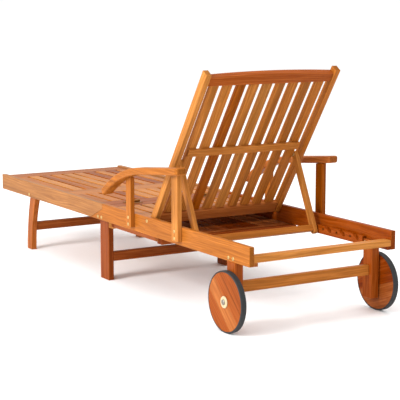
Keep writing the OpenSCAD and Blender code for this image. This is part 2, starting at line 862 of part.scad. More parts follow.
module foot_leg_bolts() {
    l = rail_t + foot_leg_t + 2 * side_gap + 2 * bolt_r;
    y1 = foot_leg_in - turn_gap;
    color("#d8b878") both() {
        bolt(foot_leg_x, foot_leg_z, rail_out, l);
        difference() {
            rod(foot_leg_x, foot_leg_z, head_r, y1 - bolt_r * 1.4, y1);
            rod(foot_leg_x, foot_leg_z, bolt_r + bolt_gap, y1 - 2 * bolt_r, y1 + over);
        }
    }
}

module foot_stretcher() {
    x = foot_leg_x1 + foot_leg_r1 - sqrt(foot_leg_r1 * foot_leg_r1 - foot_stretcher_z * foot_stretcher_z);
    color("#8a4218") board(x - stretcher_t, x, -foot_leg_in, foot_leg_in,
        foot_stretcher_z, foot_stretcher_z + stretcher_h);
}

// Tray

module tray_end_rails() {
    color("#8a4a22") for (x = [tray_x0, tray_x1 - runner_w])
        board(x, x + runner_w, tray_y0, tray_y0 + tray_w, tray_z0, tray_z0 + tray_t);
}

module tray_slats() {
    color("#7d3f1c") for (k = [0 : tray_slat_n - 1]) {
        y = tray_y0 + k * (tray_slat_w + tray_slat_gap);
        board(tray_x0 + runner_w, tray_x1 - runner_w, y, y + tray_slat_w, tray_z0, tray_z0 + tray_t);
    }
}

// Wheels

module wheel(right) {
    color("#cf7d3c") side(right) difference() {
        rod(axle_x, wheel_r, wheel_r - tyre_t, wheel_in, wheel_out);
        rod(axle_x, wheel_r, axle_r + pivot_gap, wheel_in - over, wheel_out + over);
    }
}

module tyre(right) {
    color("#2f3032") side(right) difference() {
        rod(axle_x, wheel_r, wheel_r, wheel_in, wheel_out);
        rod(axle_x, wheel_r, wheel_r - tyre_t, wheel_in - over, wheel_out + over);
    }
}

module hub_cap(right) {
    color("#e6dcc3") side(right) difference() {
        translate([axle_x, wheel_out, wheel_r]) rotate([-90, 0, 0])
            cylinder(h = hub_t, r1 = hub_r, r2 = hub_r - hub_t / 2);
        rod(axle_x, wheel_r, axle_r + pivot_gap, wheel_out - over, wheel_out + hub_t + over);
    }
}

rail(false);  // rail_left
rail(true);  // rail_right
seat_front_rail();
seat_rear_rail();
seat_slats();
mid_leg(false);  // mid_leg_left
mid_leg(true);  // mid_leg_right
mid_stretcher();
head_leg(false);  // head_leg_left
head_leg(true);  // head_leg_right
head_stretcher();
head_cross_rail();
head_cleats();
rack(false);  // rack_left
rack(true);  // rack_right
front_posts();
rear_posts();
armrest(false);  // armrest_left
armrest(true);  // armrest_right
runner_front();
runner_rear();
frame_bolts();
countersunk_screws();
spacers();
back_pivot_bolts();
axle_bolts();
hinge_frame_leaves();
hinge_pins();
stile(false);  // stile_left
stile(true);  // stile_right
back_top_rail();
back_bottom_rail();
back_batten();
back_slats();
prop_bolts();
prop_arm(false);  // prop_arm_left
prop_arm(true);  // prop_arm_right
prop_bar();
prop_pegs();
foot_rail(false);  // foot_rail_left
foot_rail(true);  // foot_rail_right
foot_end_rail();
foot_mid_rail();
foot_knee_rail();
foot_slats();
knee_slats();
hinge_foot_leaves();
foot_leg_bolts();
foot_leg(false);  // foot_leg_left
foot_leg(true);  // foot_leg_right
foot_stretcher();
tray_end_rails();
tray_slats();
wheel(false);  // wheel_left
wheel(true);  // wheel_right
tyre(false);  // tyre_left
tyre(true);  // tyre_right
hub_cap(false);  // hub_cap_left
hub_cap(true);  // hub_cap_right
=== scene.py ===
"""A reclining sun lounger of oiled acacia: its boards, wheels and fittings around the CAD frame."""

import json
import math
import random

import bmesh
import bpy
from mathutils import Matrix, Vector


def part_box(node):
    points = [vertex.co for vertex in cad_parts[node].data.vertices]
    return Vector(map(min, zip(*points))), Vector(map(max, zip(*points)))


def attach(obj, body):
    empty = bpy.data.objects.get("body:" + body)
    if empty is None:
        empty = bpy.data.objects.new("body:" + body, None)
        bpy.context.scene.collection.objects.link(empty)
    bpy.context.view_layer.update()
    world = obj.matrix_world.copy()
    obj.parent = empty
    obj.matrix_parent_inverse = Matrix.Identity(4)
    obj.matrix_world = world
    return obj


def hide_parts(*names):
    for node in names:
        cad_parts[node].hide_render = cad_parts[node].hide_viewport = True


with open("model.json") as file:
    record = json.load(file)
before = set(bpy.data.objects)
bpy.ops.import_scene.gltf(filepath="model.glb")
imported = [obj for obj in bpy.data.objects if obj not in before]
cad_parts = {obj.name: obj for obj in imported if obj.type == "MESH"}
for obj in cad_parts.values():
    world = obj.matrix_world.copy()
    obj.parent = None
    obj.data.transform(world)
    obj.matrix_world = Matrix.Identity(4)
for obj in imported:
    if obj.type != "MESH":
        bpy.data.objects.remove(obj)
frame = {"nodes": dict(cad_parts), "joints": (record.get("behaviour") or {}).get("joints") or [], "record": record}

bl_info = {
    "name": "Acacia Sun Lounger",
    "version": (1, 0, 0),
    "blender": (4, 5, 0),
    "location": "View3D > Sidebar > Lounger",
    "description": "Builds the boards, wheels and fittings of a reclining wooden sun lounger",
    "category": "Object",
}

MM = 0.001
BOLT_SHANK = 3.5 * MM
AXLE_SHANK = 5 * MM
BORE_PLAY = 0.05 * MM    # between an axle bolt and the bore of a hub cap
LEAF = 2 * MM            # thickness of a hinge's leaf
SCREW_LINE = 17 * MM     # from the line of the hinge pins to the screws

X, Y, Z = Vector((1, 0, 0)), Vector((0, 1, 0)), Vector((0, 0, 1))
SIDES = ("left", "right")
RECORD = frame["record"]
BODY_OF = {n: body for body, nodes in RECORD["behaviour"]["bodies"].items() for n in nodes}
JOINTS = {joint["name"]: joint for joint in frame["joints"]}


def linear(hex_colour):
    """An sRGB hex colour as linear red, green, blue and alpha."""
    parts = [int(hex_colour[k:k + 2], 16) / 255 for k in (1, 3, 5)]
    return (*[c / 12.92 if c <= 0.04045 else ((c + 0.055) / 1.055) ** 2.4 for c in parts], 1.0)


# ---------------------------------------------------------------- settings


class LoungerShape(bpy.types.PropertyGroup):
    """Sizes that the frame leaves to the maker."""

    board_round: bpy.props.FloatProperty(
        name="Board edge radius", description="Rounding along the edges of the boards",
        default=2.2 * MM, min=0, max=5 * MM, subtype="DISTANCE", unit="LENGTH")
    slat_round: bpy.props.FloatProperty(
        name="Slat edge radius", description="Rounding along the edges of the slats",
        default=1.8 * MM, min=0, max=4 * MM, subtype="DISTANCE", unit="LENGTH")
    arm_round: bpy.props.FloatProperty(
        name="Armrest edge radius", description="Rounding along the edges of the armrests",
        default=7 * MM, min=0, max=10 * MM, subtype="DISTANCE", unit="LENGTH")
    arm_corner: bpy.props.FloatProperty(
        name="Armrest corner radius", description="Rounding of an armrest's rear end, seen from above",
        default=13.5 * MM, min=0, max=20 * MM, subtype="DISTANCE", unit="LENGTH")
    seam_round: bpy.props.FloatProperty(
        name="Wheel seam radius", description="Rounding along the glued seams of the wheels",
        default=0.7 * MM, min=0, max=2 * MM, subtype="DISTANCE", unit="LENGTH")
    left_wheel_grain: bpy.props.FloatProperty(
        name="Left wheel's grain", description="Slope of the grain of the left wheel's planks",
        default=math.radians(-44), subtype="ANGLE", unit="ROTATION")
    right_wheel_grain: bpy.props.FloatProperty(
        name="Right wheel's grain", description="Slope of the grain of the right wheel's planks",
        default=math.radians(19), subtype="ANGLE", unit="ROTATION")


class LoungerColours(bpy.types.PropertyGroup):
    """Colours of the wood and the fittings."""

    golden: bpy.props.FloatVectorProperty(
        name="Golden acacia", description="The lightest boards, as on the left side rail and the posts",
        size=4, subtype="COLOR", min=0, max=1, default=linear("#A86024"))
    pale: bpy.props.FloatVectorProperty(
        name="Pale acacia", description="The side rails of the foot section",
        size=4, subtype="COLOR", min=0, max=1, default=linear("#8B5029"))
    amber: bpy.props.FloatVectorProperty(
        name="Amber acacia", description="The slats of the deck and the backrest, and the prop",
        size=4, subtype="COLOR", min=0, max=1, default=linear("#A1581B"))
    reddish: bpy.props.FloatVectorProperty(
        name="Red acacia", description="The redder boards, as on the wheel legs and the left wheel",
        size=4, subtype="COLOR", min=0, max=1, default=linear("#94420F"))
    brown: bpy.props.FloatVectorProperty(
        name="Brown acacia", description="The darkest boards, as on the tray and the right wheel",
        size=4, subtype="COLOR", min=0, max=1, default=linear("#85380D"))
    rubber: bpy.props.FloatVectorProperty(
        name="Tyre rubber", description="The tyres",
        size=4, subtype="COLOR", min=0, max=1, default=linear("#1C1D1F"))
    cap: bpy.props.FloatVectorProperty(
        name="Hub caps", description="The plastic hub caps",
        size=4, subtype="COLOR", min=0, max=1, default=linear("#C4B28C"))
    bolt: bpy.props.FloatVectorProperty(
        name="Bolt heads", description="The yellow plated bolts and screws",
        size=4, subtype="COLOR", min=0, max=1, default=linear("#C9A970"))
    steel: bpy.props.FloatVectorProperty(
        name="Axle bolts", description="The zinc plated axle bolts and hinge pins",
        size=4, subtype="COLOR", min=0, max=1, default=linear("#9A9388"))
    floor: bpy.props.FloatVectorProperty(
        name="Floor", description="The studio floor",
        size=4, subtype="COLOR", min=0, max=1, default=linear("#FAFAFA"))


class LoungerView(bpy.types.PropertyGroup):
    """The camera's place."""

    azimuth: bpy.props.FloatProperty(
        name="Azimuth", description="Turn of the camera round the lounger",
        default=math.radians(58.907), subtype="ANGLE", unit="ROTATION")
    elevation: bpy.props.FloatProperty(
        name="Elevation", description="Height of the camera above the horizon",
        default=math.radians(8.953), subtype="ANGLE", unit="ROTATION")
    distance: bpy.props.FloatProperty(
        name="Distance", description="Distance of the camera from what it looks at",
        default=5.1995, min=1, subtype="DISTANCE", unit="LENGTH")
    aim: bpy.props.FloatVectorProperty(
        name="Aim", description="The point that the camera looks at",
        size=3, subtype="XYZ", unit="LENGTH", default=(0.0922, 0.0680, 0.3000))
    lens: bpy.props.FloatProperty(
        name="Lens", description="Focal length in millimetres on a 36 mm sensor", default=120.6, min=10)


# ---------------------------------------------------------------- materials


def add(tree, kind, inputs=None, **settings):
    """Adds a node, sets its properties, and gives each named input its value or its link."""
    made = tree.nodes.new(kind)
    for name, value in settings.items():
        setattr(made, name, value)
    for name, value in (inputs or {}).items():
        if isinstance(value, bpy.types.NodeSocket):
            tree.links.new(value, made.inputs[name])
        else:
            made.inputs[name].default_value = value
    return made


MIX_FACTOR, MIX_A, MIX_B, MIXED = 0, 6, 7, 2   # a colour Mix node's sockets


def mixed(tree, factor, a, b):
    """The colour that a Mix node gives from a to b."""
    inputs = {MIX_FACTOR: factor, MIX_A: a, MIX_B: b}
    return add(tree, "ShaderNodeMix", inputs, data_type="RGBA").outputs[MIXED]


def ranged(tree, value, low, high, to_low=0.0, to_high=1.0):
    """A value moved from one range to another, and kept inside it."""
    inputs = {"Value": value, "From Min": low, "From Max": high, "To Min": to_low, "To Max": to_high}
    return add(tree, "ShaderNodeMapRange", inputs, clamp=True).outputs["Result"]


def calculated(tree, operation, a, b):
    """The result of a Math node."""
    return add(tree, "ShaderNodeMath", {0: a, 1: b}, operation=operation).outputs[0]


def stretched_noise(tree, vector, scale, detail, roughness=0.5):
    """Noise with its own number of cycles per metre along each axis."""
    moved = add(tree, "ShaderNodeMapping", {"Vector": vector, "Scale": scale}).outputs["Vector"]
    return add(tree, "ShaderNodeTexNoise",
               {"Vector": moved, "Scale": 1.0, "Detail": detail, "Roughness": roughness})


def new_material(name):
    """A material with a bare surface shader, as its node tree and its shader."""
    material = bpy.data.materials.new(name)
    material.use_nodes = True
    tree = material.node_tree
    return material, tree, tree.nodes["Principled BSDF"]


def shade(colour, factor, lift=0.0):
    """A colour made darker by a factor, or lighter by a lift towards straw."""
    straw = linear("#F3CF92")
    return tuple(c * factor * (1 - lift) + s * lift for c, s in zip(colour[:3], straw)) + (1.0,)


RING_GAP = 8 * MM
WAVE_RING = 0.314        # metres between the rings of a Wave texture at scale 1


def oiled_acacia(name, base):
    """Planed acacia with a coat of teak oil.

    It gives warm boards with dark heartwood bands, growth rings 8 mm apart, fine straight fibres,
    darker end grain and a soft sheen that the pores break up. The attribute grain holds each
    board's own axes in metres, tone its own shade, end its sawn ends and edge its rounded edges, which are painted
    lighter, partly as wear and partly as a painted highlight on the rounding.
    """
    material, tree, shader = new_material(name)
    grain = add(tree, "ShaderNodeAttribute", attribute_name="grain").outputs["Vector"]
    tone = add(tree, "ShaderNodeAttribute", attribute_name="tone").outputs["Fac"]
    end = add(tree, "ShaderNodeAttribute", attribute_name="end").outputs["Fac"]
    edge = add(tree, "ShaderNodeAttribute", attribute_name="edge").outputs["Fac"]

    # The rings sway to and fro along a board, which draws the arches on a flat face
    wander = stretched_noise(tree, grain, (1.6, 9, 9), 2).outputs["Color"]
    centred = add(tree, "ShaderNodeVectorMath", {0: wander, 1: (0.5, 0.5, 0.5)}, operation="SUBTRACT")
    sway = add(tree, "ShaderNodeVectorMath", {0: centred.outputs[0], 1: (0, 0.05, 0.05)},
               operation="MULTIPLY")
    figure = add(tree, "ShaderNodeVectorMath", {0: grain, 1: sway.outputs[0]}, operation="ADD").outputs[0]
    rings = add(tree, "ShaderNodeTexWave",
                {"Vector": figure, "Scale": WAVE_RING / RING_GAP, "Distortion": 1.2, "Detail": 2.0,
                 "Detail Scale": 0.6},
                wave_type="RINGS", rings_direction="X", wave_profile="SAW").outputs["Fac"]
    bands = stretched_noise(tree, figure, (0.9, 34, 34), 2).outputs["Fac"]
    streaks = stretched_noise(tree, figure, (4, 170, 170), 4, 0.6).outputs["Fac"]
    # Fibres are drawn 2 mm apart, coarser than real pores, so that they show
    fibres = stretched_noise(tree, grain, (16, 520, 520), 2, 0.6).outputs["Fac"]

    heart = ranged(tree, bands, 0.5, 0.66)
    line = ranged(tree, rings, 0.55, 1.0)
    dark, light = shade(base, 0.42), shade(base, 1.16, 0.05)
    colour = mixed(tree, ranged(tree, streaks, 0.34, 0.66), shade(base, 0.8), light)
    colour = mixed(tree, calculated(tree, "MULTIPLY", heart, 0.5), colour, dark)
    colour = mixed(tree, calculated(tree, "MULTIPLY", line, 0.34), colour, dark)
    colour = mixed(tree, ranged(tree, fibres, 0.56, 0.72, 0, 0.4), colour, shade(base, 0.34))
    # The rounded edges are painted lighter: partly wear, partly a painted highlight where the rounding catches the
    # light
    colour = mixed(tree, ranged(tree, edge, 0, 1, 0, 0.22), colour, light)
    colour = mixed(tree, ranged(tree, end, 0, 1, 0, 0.55), colour, shade(base, 0.4))
    toned = add(tree, "ShaderNodeHueSaturation",
                {"Color": colour, "Hue": ranged(tree, tone, 0, 1, 0.49, 0.511),
                 "Saturation": ranged(tree, tone, 0, 1, 1.07, 0.97),
                 "Value": ranged(tree, tone, 0, 1, 0.64, 1.32)}).outputs["Color"]
    tree.links.new(toned, shader.inputs["Base Color"])

    rough = calculated(tree, "ADD", ranged(tree, streaks, 0.3, 0.7, 0.34, 0.5),
                       calculated(tree, "MULTIPLY", end, 0.3))
    tree.links.new(rough, shader.inputs["Roughness"])
    shader.inputs["Specular IOR Level"].default_value = 0.06
    shader.inputs["Coat Weight"].default_value = 0.02
    shader.inputs["Coat Roughness"].default_value = 0.28
    height = calculated(tree, "SUBTRACT", calculated(tree, "MULTIPLY", streaks, 0.5), fibres)
    bump = add(tree, "ShaderNodeBump", {"Height": height, "Strength": 0.35, "Distance": 0.0004})
    tree.links.new(bump.outputs["Normal"], shader.inputs["Normal"])
    return material


def moulded_rubber(name, base):
    """Moulded rubber: nearly black and matt, with dust in its fine skin."""
    material, tree, shader = new_material(name)
    place = add(tree, "ShaderNodeTexCoord").outputs["Object"]
    dust = stretched_noise(tree, place, (60, 60, 60), 4, 0.7).outputs["Fac"]
    skin = stretched_noise(tree, place, (900, 900, 900), 2).outputs["Fac"]
    colour = mixed(tree, ranged(tree, dust, 0.45, 0.75, 0, 0.2), base, linear("#5E5953"))
    tree.links.new(colour, shader.inputs["Base Color"])
    tree.links.new(ranged(tree, dust, 0.3, 0.7, 0.6, 0.85), shader.inputs["Roughness"])
    bump = add(tree, "ShaderNodeBump", {"Height": skin, "Strength": 0.3, "Distance": 0.0003})
    tree.links.new(bump.outputs["Normal"], shader.inputs["Normal"])
    return material


def moulded_abs(name, base):
    """Injection moulded ABS: a smooth satin skin that has yellowed and scuffed a little."""
    material, tree, shader = new_material(name)
    place = add(tree, "ShaderNodeTexCoord").outputs["Object"]
    scuff = stretched_noise(tree, place, (140, 140, 140), 5, 0.7).outputs["Fac"]
    colour = mixed(tree, ranged(tree, scuff, 0.5, 0.72, 0, 0.4), base, shade(base, 0.62))
    tree.links.new(colour, shader.inputs["Base Color"])
    tree.links.new(ranged(tree, scuff, 0.3, 0.7, 0.32, 0.5), shader.inputs["Roughness"])
    return material


def plated_steel(name, base, roughness):
    """Zinc plated steel: a bright crystalline coat with duller, slightly cloudy patches."""
    material, tree, shader = new_material(name)
    place = add(tree, "ShaderNodeTexCoord").outputs["Object"]
    cloud = stretched_noise(tree, place, (240, 240, 240), 4, 0.65).outputs["Fac"]
    colour = mixed(tree, ranged(tree, cloud, 0.4, 0.7, 0, 0.6), base, shade(base, 0.6))
    tree.links.new(colour, shader.inputs["Base Color"])
    shader.inputs["Metallic"].default_value = 1.0
    tree.links.new(ranged(tree, cloud, 0.3, 0.7, roughness, roughness + 0.2), shader.inputs["Roughness"])
    return material


def matt_paint(name, base):
    """The painted studio floor: even and nearly matt, with the faintest mottle."""
    material, tree, shader = new_material(name)
    place = add(tree, "ShaderNodeTexCoord").outputs["Object"]
    mottle = stretched_noise(tree, place, (3, 3, 3), 3).outputs["Fac"]
    colour = mixed(tree, ranged(tree, mottle, 0.3, 0.7, 0, 0.02), base, linear("#DDDDDB"))
    tree.links.new(colour, shader.inputs["Base Color"])
    shader.inputs["Roughness"].default_value = 0.7
    return material


def finish_named(name):
    """One of the lounger's finishes, made the first time that it is asked for."""
    if name in bpy.data.materials:
        return bpy.data.materials[name]
    colours = bpy.context.scene.lounger_colours
    makers = {
        "acacia_golden": lambda: oiled_acacia(name, colours.golden),
        "acacia_pale": lambda: oiled_acacia(name, colours.pale),
        "acacia_amber": lambda: oiled_acacia(name, colours.amber),
        "acacia_red": lambda: oiled_acacia(name, colours.reddish),
        "acacia_brown": lambda: oiled_acacia(name, colours.brown),
        "tyre_rubber": lambda: moulded_rubber(name, colours.rubber),
        "black_nylon": lambda: moulded_abs(name, linear("#232323")),
        "hub_cap_abs": lambda: moulded_abs(name, colours.cap),
        "yellow_zinc": lambda: plated_steel(name, colours.bolt, 0.3),
        "grey_zinc": lambda: plated_steel(name, colours.steel, 0.34),
        "bronze_lacquer": lambda: plated_steel(name, linear("#9A6A38"), 0.45),
        "studio_paint": lambda: matt_paint(name, colours.floor),
    }
    return makers[name]()


# ---------------------------------------------------------------- shapes

SAME_PLACE = 6           # decimals of a metre to which corners are taken as one
SAME_LEVEL = 1e-5        # metres
SHARP = math.radians(20)
MOSTLY = 0.9             # cosine above which a direction counts as lying along an axis
SAWN = 0.8               # cosine to the grain above which a face counts as a sawn end


def root_of(roots, k):
    """The corner that stands for the group that corner k belongs to."""
    while roots[k] != k:
        k = roots[k]
    return k


def cad_solids(node):
    """The separate solids of a CAD node, each as a list of faces of corner points."""
    data = frame["nodes"][node].data
    corners = {}
    index = [corners.setdefault(tuple(round(c, SAME_PLACE) for c in v.co), len(corners))
             for v in data.vertices]
    points = [Vector(p) for p in corners]
    roots = list(range(len(points)))
    faces = [[index[k] for k in face.vertices] for face in data.polygons]
    for face in faces:
        first = root_of(roots, face[0])
        for k in face[1:]:
            roots[root_of(roots, k)] = first
    groups = {}
    for face in faces:
        groups.setdefault(root_of(roots, face[0]), []).append([points[k] for k in face])
    return list(groups.values())


def extent(points):
    """The lowest and the highest corner of some points."""
    return (Vector(map(min, zip(*points))), Vector(map(max, zip(*points))))


def area(loop):
    """The area inside a loop of corners seen from above, negative where the loop runs clockwise."""
    return sum(a.x * b.y - b.x * a.y for a, b in zip(loop, loop[1:] + loop[:1])) / 2


def outline_of(faces, level):
    """The outer outline of the faces that lie at one level of Z."""
    after = {}
    edges = set()
    for face in faces:
        if all(abs(p.z - level) < SAME_LEVEL for p in face):
            keys = [tuple(round(c, SAME_PLACE) for c in p) for p in face]
            edges.update(zip(keys, keys[1:] + keys[:1]))
    for a, b in edges:
        if (b, a) not in edges:
            after[a] = b
    loops = []
    while after:
        start, here = after.popitem()
        loop = [Vector(start)]
        while here != start:
            loop.append(Vector(here))
            here = after.pop(here)
        loops.append(loop)
    return max(loops, key=lambda loop: abs(area(loop)))


def rectangle_of(faces):
    """The rectangle round some faces, seen from above."""
    low, high = extent([p for face in faces for p in face])
    return [Vector((x, y, 0)) for x, y in ((low.x, low.y), (high.x, low.y), (high.x, high.y),
                                           (low.x, high.y))]


def axes(first, last):
    """A matrix whose X axis is first, whose Z axis is last, and whose Y axis makes it right-handed."""
    middle = last.cross(first)
    return Matrix((first, middle, last)).transposed().to_4x4()


class Heap:
    """Boards and planks that are gathered into one mesh, with what their finish needs to know."""

    def __init__(self):
        self.points, self.faces = [], []
        self.grain, self.tone, self.end, self.edge = [], [], [], []

    def take(self, shape, place, along, chance, tone=None):
        """Moves a shape into the heap. Along is the direction of its grain in the row frame."""
        start = len(self.points)
        shape.verts.ensure_lookup_table()
        shape.verts.index_update()
        tone = chance.random() if tone is None else tone
        side = along.cross(Z if abs(along.z) < MOSTLY else X).normalized()
        over = side.cross(along)
        middle = sum((place @ v.co for v in shape.verts), Vector()) / len(shape.verts)
        # The heart of the tree lies 25 to 70 mm beside the board's middle, so that its rings show as arcs
        heart = Vector((chance.uniform(-9, 9), chance.uniform(-0.05, 0.05),
                        chance.choice((-1, 1)) * chance.uniform(0.025, 0.07)))
        for v in shape.verts:
            p = place @ v.co
            self.points.append(p)
            own = p - middle
            self.grain.append(Vector((own.dot(along), own.dot(side), own.dot(over))) + heart)
        turn = place.to_3x3()
        shape.faces.ensure_lookup_table()
        for face in shape.faces:
            self.faces.append([start + v.index for v in face.verts])
            self.tone.append(tone)
            self.end.append(1.0 if abs((turn @ face.normal).normalized().dot(along)) > SAWN else 0.0)
            # Faces made by rounding are marked, so that the wood finish paints them lighter as wear and as a
            # painted highlight
            self.edge.append(1.0 if face.tag else 0.0)
        shape.free()

    def object(self, name, finish, body, replaced=()):
        """Makes one piece of the heap, rides it on its body and lets it stand for its CAD nodes."""
        mesh = bpy.data.meshes.new(name)
        mesh.from_pydata([tuple(p) for p in self.points], [], self.faces)
        grain = mesh.attributes.new("grain", "FLOAT_VECTOR", "POINT")
        grain.data.foreach_set("vector", [c for v in self.grain for c in v])
        for label, values in (("tone", self.tone), ("end", self.end), ("edge", self.edge)):
            mesh.attributes.new(label, "FLOAT", "FACE").data.foreach_set("value", values)
        piece(name, mesh, finish, body, replaced)


def piece(name, mesh, finish, body, replaced=()):
    """Puts a mesh in the scene as a piece of the lounger."""
    mesh.polygons.foreach_set("use_smooth", [True] * len(mesh.polygons))
    mesh.materials.append(finish_named(finish))
    made = bpy.data.objects.new(name, mesh)
    bpy.context.scene.collection.objects.link(made)
    smooth = made.modifiers.new("soft edges", "WEIGHTED_NORMAL")
    smooth.keep_sharp = True
    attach(made, body)
    if replaced:
        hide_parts(*replaced)


def prism(outline, low, high):
    """A solid between two levels of Z with one outline."""
    shape = bmesh.new()
    if area(outline) < 0:
        outline = outline[::-1]
    below = [shape.verts.new((p.x, p.y, low)) for p in outline]
    above = [shape.verts.new((p.x, p.y, high)) for p in outline]
    shape.faces.new(below[::-1])
    shape.faces.new(above)
    count = len(outline)
    for k in range(count):
        shape.faces.new((below[k], below[(k + 1) % count], above[(k + 1) % count], above[k]))
    shape.normal_update()
    return shape


def rounded(shape, radius, segments=3, chosen=None):
    """Rounds the sharp edges of a shape, or the chosen ones, and tags the new faces."""
    edges = chosen or [e for e in shape.edges if len(e.link_faces) == 2 and e.calc_face_angle() > SHARP]
    if radius > 0 and edges:
        made = bmesh.ops.bevel(shape, geom=edges, offset=radius, offset_type="OFFSET",
                               segments=segments, profile=0.5, affect="EDGES", clamp_overlap=True)
        for face in made["faces"]:
            face.tag = chosen is None
    shape.normal_update()
    return shape


def turned(profile, segments):
    """A shape turned about Z from a closed profile of (radius, height) points, all off the axis."""
    shape = bmesh.new()
    steps = [math.tau * k / segments for k in range(segments)]
    rings = [[shape.verts.new((r * math.cos(a), r * math.sin(a), z)) for r, z in profile] for a in steps]
    count = len(profile)
    for k in range(segments):
        here, there = rings[k], rings[(k + 1) % segments]
        for j in range(count):
            shape.faces.new((here[j], there[j], there[(j + 1) % count], here[(j + 1) % count]))
    bmesh.ops.recalc_face_normals(shape, faces=shape.faces)
    shape.normal_update()
    return shape


def turned_solid(profile, segments=32):
    """A shape turned about Z from an open profile that starts and ends on the axis."""
    shape = bmesh.new()
    bottom = shape.verts.new((0, 0, profile[0][1]))
    top = shape.verts.new((0, 0, profile[-1][1]))
    steps = [math.tau * k / segments for k in range(segments)]
    rings = [[shape.verts.new((r * math.cos(a), r * math.sin(a), z)) for a in steps]
             for r, z in profile[1:-1]]
    for k in range(segments):
        following = (k + 1) % segments
        shape.faces.new((bottom, rings[0][following], rings[0][k]))
        shape.faces.new((top, rings[-1][k], rings[-1][following]))
        for lower, upper in zip(rings, rings[1:]):
            shape.faces.new((lower[k], lower[following], upper[following], upper[k]))
    bmesh.ops.recalc_face_normals(shape, faces=shape.faces)
    shape.normal_update()
    return shape


def boards(node, grain, through, finish, base=None, radius=None, tone=None, boxed=False):
    """Replaces a wooden CAD node by rounded boards with grain.

    Grain and through are directions in base's axes: the grain's, and the one in which a board is
    seen as its outline. A boxed board takes its solid's whole box.
    """
    base = base or Matrix()
    radius = bpy.context.scene.lounger_shape.board_round if radius is None else radius
    flat = axes(Y if abs(through.x) > MOSTLY else X, through)
    place = base @ flat
    away = place.inverted()
    chance = random.Random(node)
    heap = Heap()
    for solid in cad_solids(node):
        faces = [[away @ p for p in face] for face in solid]
        low, high = extent([p for face in faces for p in face])
        outline = rectangle_of(faces) if boxed else outline_of(faces, high.z)
        shape = rounded(prism(outline, low.z, high.z), radius)
        heap.take(shape, place, (base.to_3x3() @ grain).normalized(), chance, tone)
    heap.object("wood_" + node, finish, BODY_OF[node], [node])


def back_place():
    """The backrest's own axes: X runs up it from its pivot, and Z points to its front."""
    joint = JOINTS["recline"]
    turn = Matrix.Rotation(-math.radians(joint["range_deg"][1]), 4, "Y")
    return Matrix.Translation(joint["pos_m"]) @ turn


def prop_place():
    """The prop's own axes: X runs down its arms from their pivot."""
    pivot = Vector(JOINTS["prop_fold"]["pos_m"])
    low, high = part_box("prop_bar")
    reach = (low + high) / 2 - pivot
    return Matrix.Translation(pivot) @ Matrix.Rotation(math.atan2(-reach.z, reach.x), 4, "Y")


# ---------------------------------------------------------------- operators


class LOUNGER_OT_side_rails(bpy.types.Operator):
    """Make the side rails of the frame and of the foot section"""

    bl_idname = "lounger.side_rails"
    bl_label = "Side Rails"

    def execute(self, context):
        boards("rail_left", X, Y, "acacia_golden", tone=0.5)
        # The right rail's darker red acacia is partly painted shade: its inner face lies in shade, and the board
        # is made darker to match it
        boards("rail_right", X, Y, "acacia_red", tone=0.4)
        for side in SIDES:
            boards("foot_rail_" + side, X, Y, "acacia_pale")
        return {"FINISHED"}


class LOUNGER_OT_deck(bpy.types.Operator):
    """Make the cross rails and the slats of the seat and the foot section"""

    bl_idname = "lounger.deck"
    bl_label = "Deck"

    def execute(self, context):
        for node in ("seat_front_rail", "foot_end_rail", "foot_mid_rail", "foot_knee_rail"):
            boards(node, Y, Z, "acacia_golden")
        boards("seat_rear_rail", Y, Z, "acacia_golden", tone=0.85)
        radius = context.scene.lounger_shape.slat_round
        for node in ("seat_slats", "foot_slats", "knee_slats"):
            boards(node, X, Z, "acacia_amber", radius=radius)
        return {"FINISHED"}


class LOUNGER_OT_legs(bpy.types.Operator):
    """Make the legs and the stretchers between them"""

    bl_idname = "lounger.legs"
    bl_label = "Legs"

    def execute(self, context):
        for side in SIDES:
            boards("mid_leg_" + side, Z, Y, "acacia_brown", tone=0.5, boxed=True)
            boards("head_leg_" + side, Z, X, "acacia_red", tone=0.5)
            boards("foot_leg_" + side, Z, Y, "acacia_red", tone=0.8)
        boards("head_stretcher", Y, X, "acacia_golden", tone=0.6)
        boards("mid_stretcher", Y, X, "acacia_brown", tone=0.6)
        boards("foot_stretcher", Y, X, "acacia_brown")
        return {"FINISHED"}


class LOUNGER_OT_head_end(bpy.types.Operator):
    """Make the head cross rail, its cleats and the notched racks"""

    bl_idname = "lounger.head_end"
    bl_label = "Head End"

    def execute(self, context):
        boards("head_cross_rail", Y, Z, "acacia_golden", tone=0.85)
        boards("head_cleats", X, Z, "acacia_red")
        for side in SIDES:
            boards("rack_" + side, X, Y, "acacia_red", radius=context.scene.lounger_shape.slat_round)
        return {"FINISHED"}


def armrest(side, finish, tone):
    """An armrest: the outline of its side, drawn out to its full length and rounded at the rear."""
    shape_settings = bpy.context.scene.lounger_shape
    node = "armrest_" + side
    place = axes(X, Y)
    away = place.inverted()
    faces = [[away @ p for p in face] for face in cad_solids(node)[0]]
    low, high = extent([p for face in faces for p in face])
    outline = outline_of(faces, high.z)
    rear = sorted(outline, key=lambda p: p.x)[-2:]
    for k, p in enumerate(outline):
        if p in rear:
            beside = outline[k - 1] if outline[k - 1] not in rear else outline[(k + 1) % len(outline)]
            p += (p - beside) * ((high.x - p.x) / (p.x - beside.x))
    depth = abs(rear[0].y - rear[1].y)
    shape = prism(outline, low.z, high.z)
    ends = [e for e in shape.edges
            if all(v.co.x > high.x - depth / 4 for v in e.verts)
            and abs(e.verts[0].co.z - e.verts[1].co.z) < SAME_LEVEL]
    shape = rounded(shape, shape_settings.arm_corner, 8, ends)
    shape = rounded(shape, shape_settings.arm_round)
    heap = Heap()
    heap.take(shape, place, X, random.Random(node), tone)
    heap.object("wood_" + node, finish, BODY_OF[node], [node])


